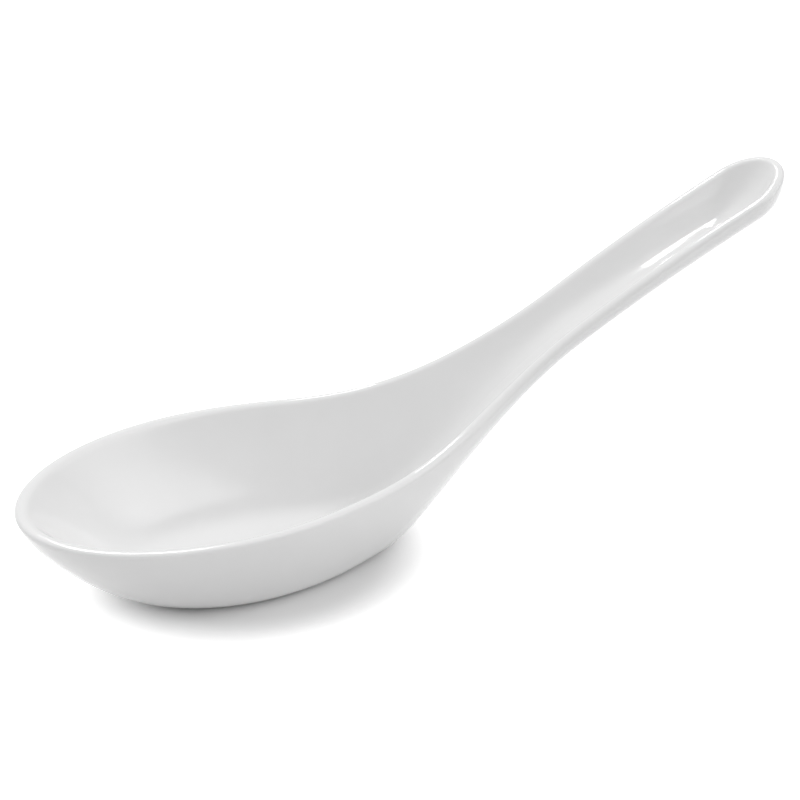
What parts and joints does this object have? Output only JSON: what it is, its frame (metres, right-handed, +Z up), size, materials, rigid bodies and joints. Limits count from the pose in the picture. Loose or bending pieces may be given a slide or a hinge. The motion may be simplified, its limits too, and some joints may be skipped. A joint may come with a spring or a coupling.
{
  "type": "tasting spoon",
  "caption": "White glossy spoon with a deep oval bowl on a flat foot and a raised handle with a shallow channel, for tasting and serving small portions.",
  "frame": {"origin": "middle of the flat foot, on the surface that the spoon stands on", "axes": "+X from the bowl's tip to the end of the handle, +Z up; the two sides mirror each other in Y"},
  "size_m": [0.1389, 0.0432, 0.0495],
  "materials": {
    "melamine": "glossy, polished in the mould"
  },
  "bodies": {
    "root": {"moulded_spoon": "melamine"}
  },
  "joints": []
}
